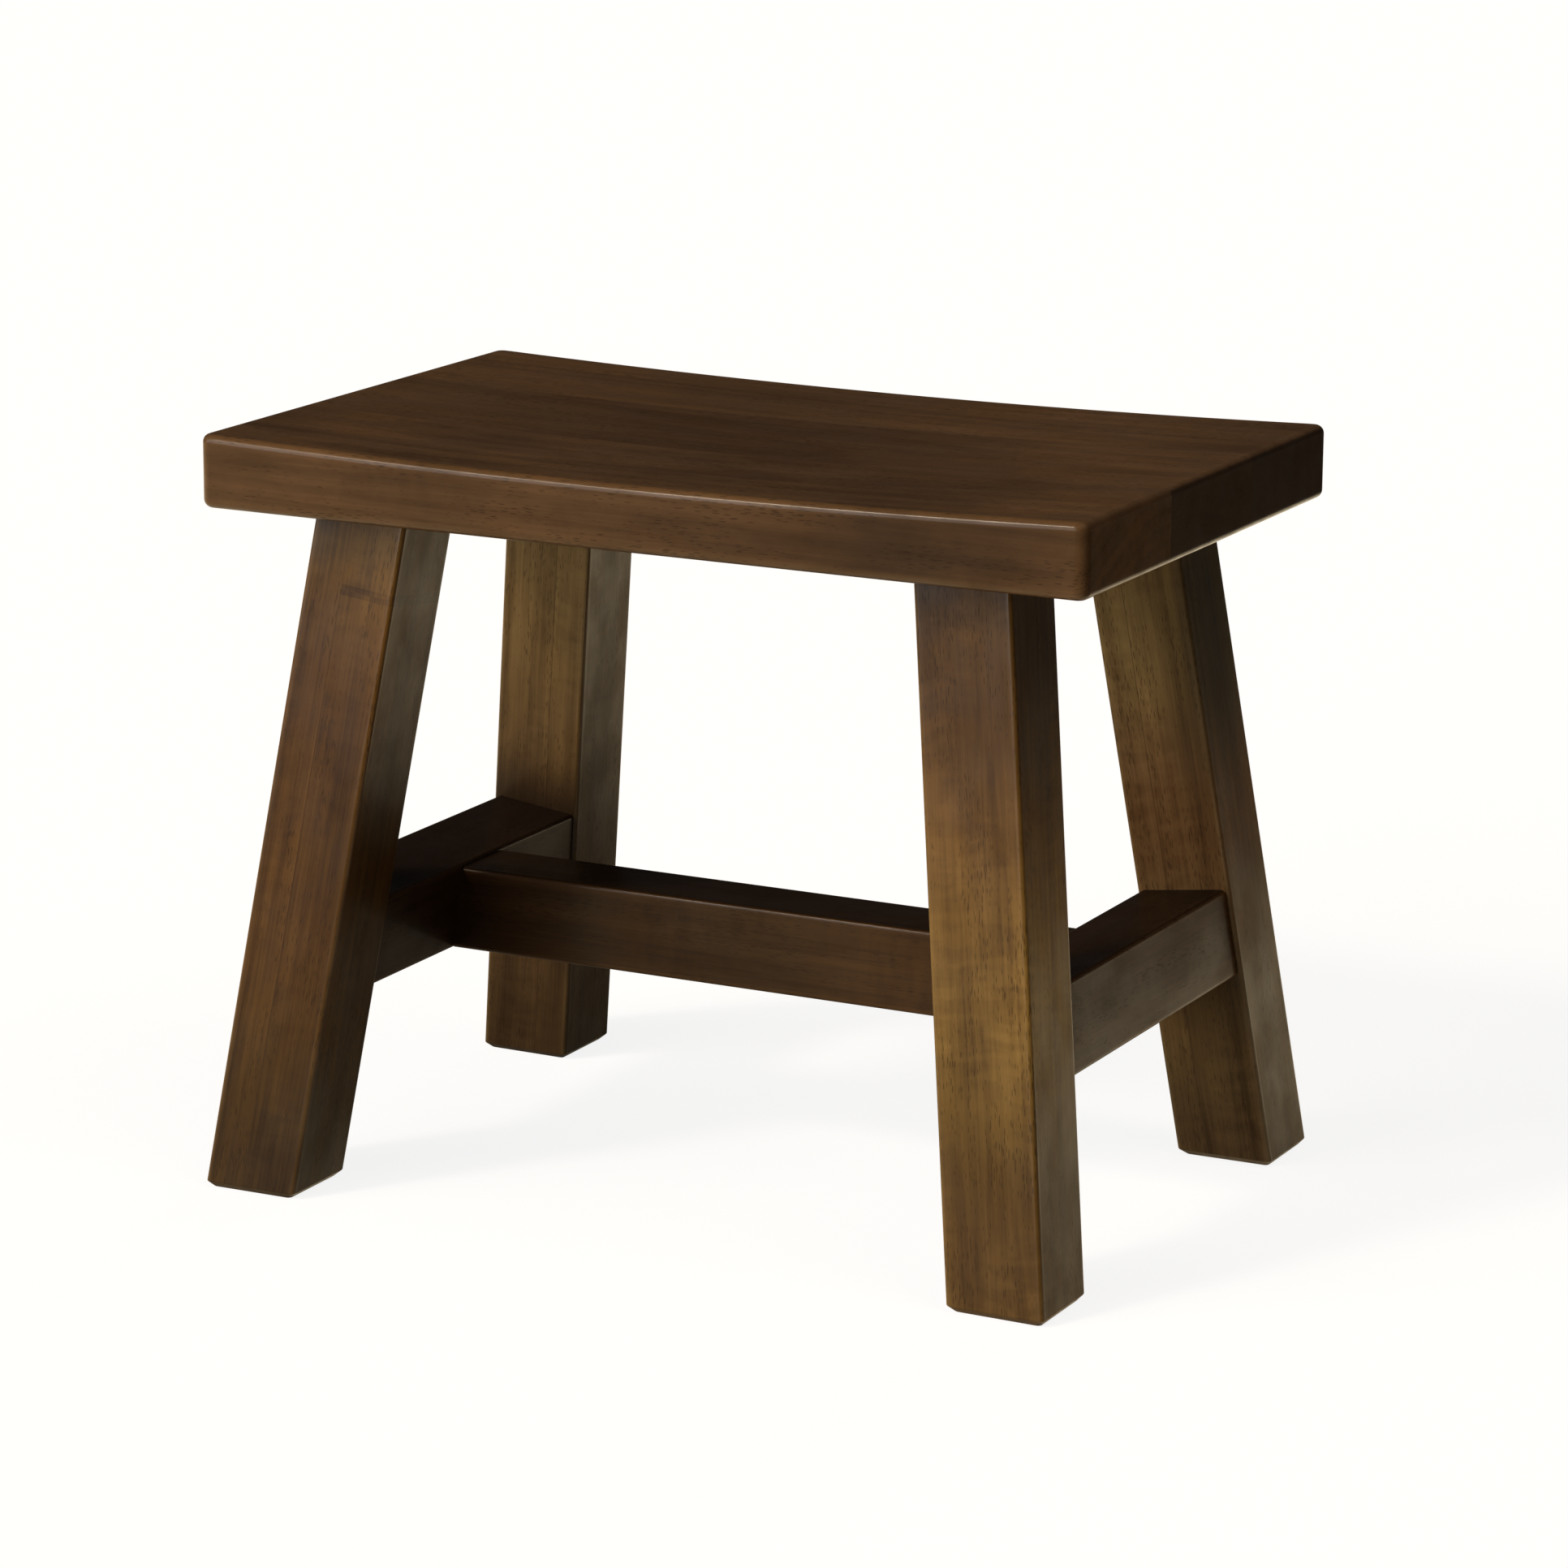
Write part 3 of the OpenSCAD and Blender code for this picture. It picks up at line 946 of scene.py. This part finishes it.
given, result = new_group("satin lacquer", {"Seed": 0.0}, ["Smudge", "Height"])
place = seeded(given, (0.97, 1.63, 0.29))
smudge = noise(place, (24, 40, 40), detail=4, roughness=0.6)
peel = noise(place, (420, 420, 420), detail=1)
waves = noise(place, (12, 30, 30), detail=1)
plug(widened(smudge), result["Smudge"])
plug(times_plus(peel, peel_height, times(waves, wave_height)), result["Height"])

# %% [markdown]
# Stained wood. One function makes the material of one piece from these groups. Its tone runs from a
# dark colour to a pale one, and the rings, streaks, blotches and curl push it up and down. The stain
# is wiped on by hand, and the stops along a piece list how its lightness and warmth drift: partly the
# stain's depth, and partly painted light and shade. A ramp can't hold a value above 1, so its stops are
# written lower by its headroom and scaled back after it. A patch is a soft place that is darker, or
# paler where its depth is below zero; on the legs the darker ones are painted shade and the paler ones
# painted light. A `corner` is painted shade on a leg's face towards the stool's middle, round a
# stretcher's joint. Pores stay darkest. End grain drinks the stain, so it is darker and duller. The top
# of a stretcher is darker too, which is painted shade from the seat. The lacquer is the shader's coat,
# fuller on rubbed edges, with its own roughness set once on its socket.

# %% Stained wood
pore_colour = (0.012, 0.0055, 0.0018, 1)
coat_thin = 0.12
coat_full = 0.22
coat_ior = 1.35
coat_on_end_grain = 0.12
coat_roughness = 0.18
wood_gloss = 0.05
wood_smooth = 0.42
wood_rough = 0.54
rougher_in_pores = 0.12
rougher_on_end_grain = 0.15
band_weight = 0.30
broad_weight = 0.38
fine_weight = 0.22
blotch_weight = 0.36
late_wood_weight = -0.12
upper_stave_weight = 0.10
finger_weight = -0.34
worn_paleness = 1.6
glue_line_share = 0.45
pore_share = 0.55
pore_depth = 0.035
leg_joint = end_joint_z - leg_reach / 2
joint_shade_reach = 34 * MM
ramp_headroom = 3.0
fibre_height = 0.006
edge_wear = 0.35
end_grain_from = 0.55
end_grain_full = 0.92
patch_core = 0.2


def faces(normal, direction):
    """How much a face looks in a direction: 1 when straight, 0 from about 50 degrees off."""
    return remap(vectors("DOT_PRODUCT", normal, direction), 0.6, 0.95)


def stain_and_light_along(along, stops):
    """The tint along a piece, of stain and painted light and shade. A stop is a place in mm, a lightness
    and, if any, how golden it is.
    """
    first, last = stops[0][0], stops[-1][0]
    share = remap(along, first * MM, last * MM, smooth=False)
    ramp = node("ValToRGB", {"Fac": share})
    ramp.color_ramp.interpolation = "CARDINAL"
    marks = ramp.color_ramp.elements
    while len(marks) < len(stops):
        marks.new(1.0)
    for mark, (place, lightness, *gold) in zip(marks, stops):
        mark.position = (place - first) / (last - first)
        level = lightness / ramp_headroom
        mark.color = (level, level * (1 + sum(gold)), level * (1 + sum(gold)), 1)
    return scaled(ramp.outputs["Color"], ramp_headroom)


def stained_wood(piece, axes, half_size, pale, dark, seed, heart, ring_width=4 * MM, taper=0.02,
                 streakiness=1.0, mottle=1.0, seam=1.0, seam_tone=0.0, joint=1.0, curl=0.25,
                 edge_axes=None, dished=False, edge_reach=4 * MM, edge_polish=0.45, end_stain=0.60,
                 painted_top_shade=0.0, stain_and_light_stops=((-100, 1.0), (100, 1.0)), corner=None, darker_or_paler_patch=None,
                 lacquering=1.0):
    """Gives a piece its stained and lacquered wood, with its painted light and shade."""
    wood = new_material(piece, piece.name)
    spots = node("TexCoord", {}).outputs
    grain = in_axes(spots["Object"], axes)
    stave = use_group("staves", Vector=grain, Seam=seam, Joint=joint)
    pattern = partial(use_group, Vector=stave["Vector"], Seed=seed)
    rings = pattern("growth rings", Heart=heart, Ring_width=ring_width, Taper=taper)
    streaks = pattern("fibres")
    patches = pattern("blotches and curl")
    vessels = pattern("pores")["Pore"]
    lacquer = use_group("satin lacquer", Vector=grain, Seed=seed)
    edge_place = in_axes(spots["Object"], edge_axes or axes)
    if dished:
        edge_place = level_dish(edge_place)
    rubbed = use_group("rubbed edges", Vector=edge_place, Half_size=half_size, Reach=edge_reach,
                       Seed=seed)["Edge"]

    tone = 0.5
    for part, weight in ((rings["Band"], band_weight * streakiness),
                         (streaks["Broad"], broad_weight * streakiness),
                         (streaks["Fine"], fine_weight * streakiness),
                         (patches["Blotch"], blotch_weight * mottle)):
        tone = plus(tone, times(minus(part, 0.5), weight))
    for part, weight in ((patches["Curl"], curl), (rings["Late wood"], late_wood_weight),
                         (stave["Side"], seam_tone), (stave["Upper"], upper_stave_weight)):
        tone = times_plus(part, weight, tone)
    tone = times_plus(stave["Fingers"], finger_weight, tone, clamp=True)

    end_facing = maths("ABSOLUTE", vectors("DOT_PRODUCT", spots["Normal"], axes.col[0].xyz))
    end_grain = remap(end_facing, end_grain_from, end_grain_full)
    along = split(grain)["X"]
    # The stops along the piece hold the stain's drift together with painted light and shade.
    colour = vectors("MULTIPLY", mixed(tone, dark, pale), stain_and_light_along(along, stain_and_light_stops))
    # A patch darkens, or lightens where its depth is below zero; on the legs the darker ones are painted
    # shade and the paler ones painted light.
    if darker_or_paler_patch:
        middle_point, half_lengths, depth = darker_or_paler_patch
        from_middle = vectors("DIVIDE", vectors("SUBTRACT", spots["Object"], middle_point), half_lengths)
        colour = scaled(colour, remap(vectors("LENGTH", from_middle), patch_core, 1.0, 1 - depth, 1.0))
    worn = tuple(worn_paleness * value for value in pale[:3]) + (1,)
    colour = mixed(times(rubbed, edge_wear), colour, worn)
    # Glue lines, pores and end grain are stain. Darkening the faces that look up is painted shade from
    # the seat, and a corner adds painted shade too.
    stains_and_painted_shade = [(stave["Line"], glue_line_share), (vessels, pore_share), (end_grain, end_stain),
              (faces(spots["Normal"], (0, 0, 1)), painted_top_shade)]
    # A corner is painted shade on a leg's face towards the stool's middle, round a stretcher's joint.
    if corner:
        face, depth = corner
        from_joint = maths("ABSOLUTE", minus(along, leg_joint))
        near = remap(from_joint, end_rail_height / 2, end_rail_height / 2 + joint_shade_reach, depth, 0.0)
        stains_and_painted_shade.append((near, faces(spots["Normal"], (0, -face, 0))))
    for part, share in stains_and_painted_shade:
        colour = mixed(times(part, share), colour, pore_colour)

    smudge = lacquer["Smudge"]
    roughness = times_plus(vessels, rougher_in_pores, between(smudge, wood_smooth, wood_rough))
    roughness = times_plus(end_grain, rougher_on_end_grain, roughness, clamp=True)
    coat_left = times(between(end_grain, 1.0, coat_on_end_grain), lacquering)
    coat = times(between(smudge, coat_full, coat_thin), coat_left)
    coat = times_plus(rubbed, edge_polish, coat, clamp=True)
    height = times_plus(vessels, -pore_depth, lacquer["Height"])
    height = times_plus(streaks["Fine"], fibre_height, height)
    bump = node("Bump", {"Height": height, "Distance": MM})

    plug(wood_gloss, wood["Specular IOR Level"])
    plug(coat_roughness, wood["Coat Roughness"])
    plug(coat_ior, wood["Coat IOR"])
    plug(colour, wood["Base Color"])
    plug(roughness, wood["Roughness"])
    plug(coat, wood["Coat Weight"])
    plug(bump.outputs["Normal"], wood["Normal"])
    print("stained", piece.name, "with seed", seed)


# %% [markdown]
# The legs' wood is the warmest. Each leg has its own place in the tree, and all but the front right one
# have a seam between two staves. That one is golden in its middle and darker at the top, the front left
# one darkens towards its foot, and the back ones are cooler, darker at the foot and much paler at the
# top. Along each leg these drifts are partly stain and partly painted light and shade: painted shade
# towards the feet and just under the seat, and painted light up under the seat on the back legs. Each
# has a patch on its right face: painted shade on the front left and the back right leg, painted light
# on the other two.

# %% Wood of the legs
leg_pale = (0.130, 0.0590, 0.0102, 1)
leg_dark = (0.043, 0.0173, 0.0024, 1)
golden_leg_pale = (0.132, 0.0655, 0.0150, 1)
golden_leg_dark = (0.044, 0.0192, 0.0038, 1)
back_leg_pale = (0.138, 0.0795, 0.0270, 1)
back_leg_dark = (0.046, 0.0233, 0.0071, 1)
leg_half_size = (1.0, leg_width / 2, leg_depth / 2)

stained_wood(leg_front_left, leg_grain(-1, -1), leg_half_size, leg_pale, leg_dark, seed=1,
             heart=(0, 0.03, -0.14), ring_width=5 * MM, seam=-3.8 * MM, seam_tone=0.04,
             joint=125 * MM, streakiness=1.4, mottle=1.2, corner=(-1, 0.4),
             darker_or_paler_patch=((-0.1514, -0.113, 0.15), (0.02, 0.05, 0.11), 0.32),
             stain_and_light_stops=((-150, 0.45, 0.02), (-100, 0.68, 0.02), (-50, 0.86, -0.04), (25, 0.80, -0.06),
                     (90, 0.90, -0.05), (122, 1.10, 0.02), (150, 0.98, 0.08)))
stained_wood(leg_front_right, leg_grain(1, -1), leg_half_size, golden_leg_pale, golden_leg_dark,
             seed=2, heart=(0, -0.02, 0.11), ring_width=4.5 * MM, mottle=1.2, corner=(-1, 0.4),
             darker_or_paler_patch=((0.200, -0.113, 0.145), (0.02, 0.05, 0.09), -0.4),
             stain_and_light_stops=((-150, 1.08, 0.03), (-110, 1.02, 0.05), (-55, 1.62, 0.12), (-10, 1.74, 0.10),
                     (45, 1.36), (85, 0.88, -0.06), (150, 0.77, -0.05)))
stained_wood(leg_back_left, leg_grain(-1, 1), leg_half_size, back_leg_pale, back_leg_dark, seed=3,
             heart=(0, 0.08, 0.10), seam=6 * MM, seam_tone=0.04, corner=(1, 0.85),
             darker_or_paler_patch=((-0.164, 0.126, 0.045), (0.016, 0.04, 0.045), -0.7),
             stain_and_light_stops=((-150, 0.44, -0.10), (-100, 0.60, -0.08), (0, 0.90, -0.05), (50, 1.22),
                     (110, 1.45, 0.05)))
stained_wood(leg_back_right, leg_grain(1, 1), leg_half_size, back_leg_pale, back_leg_dark, seed=4,
             heart=(0, -0.09, 0.12), ring_width=5 * MM, seam=-8 * MM, seam_tone=-0.05, lacquering=0.75,
             darker_or_paler_patch=((0.188, 0.0975, 0.275), (0.024, 0.06, 0.13), 0.72),
             stain_and_light_stops=((-150, 0.68, -0.06), (-105, 1.12), (-50, 1.15, -0.06), (15, 1.44, -0.15),
                     (60, 1.75, -0.04), (110, 2.25, 0.08)))

# %% [markdown]
# The seat's boards are a shade darker and quieter, and darkest near the middle. The front board's end
# grain is darkened far less than that of the others, and its front face has a darker patch at the right.

# %% Wood of the seat
seat_look = dict(half_size=(seat_length / 2, seat_depth / 2, seat_thickness / 2),
                 pale=(0.132, 0.0655, 0.0252, 1), dark=(0.0512, 0.0244, 0.0084, 1), taper=0.03,
                 curl=0.10, edge_axes=Matrix.Translation(seat_middle), dished=True, edge_reach=6 * MM)

stained_wood(front_board, seat_grain(front_low.y, front_seam), seed=5, heart=(0, 0.05, -0.16),
             ring_width=7 * MM, streakiness=0.7, mottle=1.1, end_stain=0.08,
             darker_or_paler_patch=((0.165, front_low.y, seat_underside + 0.018), (0.11, 0.016, 0.035), 0.42),
             stain_and_light_stops=((-215, 0.96), (-175, 1.10), (-115, 0.97), (-60, 1.05), (0, 0.92), (60, 0.85),
                     (120, 0.82), (195, 1.17)), **seat_look)
stained_wood(middle_board, seat_grain(front_seam, back_seam), seed=6, heart=(0, -0.02, -0.12),
             ring_width=8 * MM, streakiness=0.6, mottle=0.7, end_stain=0.74,
             stain_and_light_stops=((-200, 1.0), (-90, 0.79), (-30, 0.74), (50, 0.75), (110, 0.97), (170, 1.2),
                     (215, 1.1)), **seat_look)
stained_wood(back_board, seat_grain(back_seam, back_high.y), seed=7, heart=(0, -0.10, -0.15),
             ring_width=7 * MM, streakiness=0.6, mottle=0.7, end_stain=0.77,
             stain_and_light_stops=((-200, 1.14), (-120, 1.01), (-30, 0.94), (60, 1.14), (150, 1.16), (210, 0.9)),
             **seat_look)

# %% [markdown]
# The stretchers are darker again, partly as painted shade under the seat, and above all on top, where
# the darkening is painted shade from the seat. The left one is the darkest, which is painted shade, as
# it lies deepest under the stool, and the right one has the thinnest lacquer.

# %% Wood of the stretchers
stretcher_look = dict(pale=(0.070, 0.0310, 0.0092, 1), dark=(0.0260, 0.0100, 0.0025, 1))
end_stretcher_half_size = (1.0, end_rail_height / 2, end_rail_thickness / 2)
centre_stretcher_half_size = (1.0, centre_rail_thickness / 2, centre_rail_height / 2)
centre_stretcher_grain = grain_axes((0, 0, centre_rail_z), (1, 0, 0), (0, 1, 0))

stained_wood(end_stretcher_left, end_stretcher_grain(-1), end_stretcher_half_size, seed=8,
             heart=(0, 0.04, 0.10), edge_polish=0.15, painted_top_shade=0.75,
             stain_and_light_stops=((-90, 0.65), (90, 0.65)), **stretcher_look)
stained_wood(end_stretcher_right, end_stretcher_grain(1), end_stretcher_half_size, seed=9,
             heart=(0, -0.05, 0.12), edge_polish=0.15, painted_top_shade=0.80, lacquering=0.55,
             **stretcher_look)
stained_wood(centre_stretcher, centre_stretcher_grain, centre_stretcher_half_size, seed=10,
             heart=(0, 0.06, -0.10), edge_polish=0.1, painted_top_shade=0.78,
             stain_and_light_stops=((-130, 0.62), (-40, 0.65, 0.08), (20, 0.71, 0.08), (90, 0.88, 0.05)),
             **stretcher_look)

# %% [markdown]
# The dowels are the construction model's own, hidden in their holes. They are bare beech: pale, dry
# and unstained, with the fine streaks of the same fibres and the short flecks that beech has.

# %% Bare beech of the dowels
beech_pale = (0.62, 0.44, 0.27, 1)
beech_dark = (0.42, 0.27, 0.15, 1)
beech_smooth = 0.66
beech_rough = 0.78
beech_fibre_height = 0.03 * MM
fleck_share = 0.5

wood = new_material(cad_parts["leg_dowels"], "bare beech")
spot = node("TexCoord", {}).outputs["Object"]
grain = in_axes(spot, grain_axes((0, 0, seat_underside), (0, 0, 1), (1, 0, 0)))
streaks = use_group("fibres", Vector=grain, Seed=11)
flecks = use_group("pores", Vector=grain, Length=3 * MM, Spacing=0.7 * MM, Seed=12)["Pore"]
tone = times_plus(streaks["Fine"], 0.5, times(streaks["Broad"], 0.5))
colour = mixed(times(flecks, fleck_share), mixed(tone, beech_dark, beech_pale), beech_dark)
bump = node("Bump", {"Height": streaks["Fine"], "Distance": beech_fibre_height})
plug(colour, wood["Base Color"])
plug(between(streaks["Fine"], beech_smooth, beech_rough), wood["Roughness"])
plug(bump.outputs["Normal"], wood["Normal"])
print("left the dowels bare, with the grain upright")

# %% [markdown]
# Both boxes are printed: the construction model's and the dressed stool's. The dressed stool has
# to stay inside the construction model's box.

# %% Print both boxes
visual_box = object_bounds()
for name, box in (("frame", cad_box), ("dressed", visual_box)):
    print(name, "box, mm:", [[round(value / MM, 2) for value in corner] for corner in box])
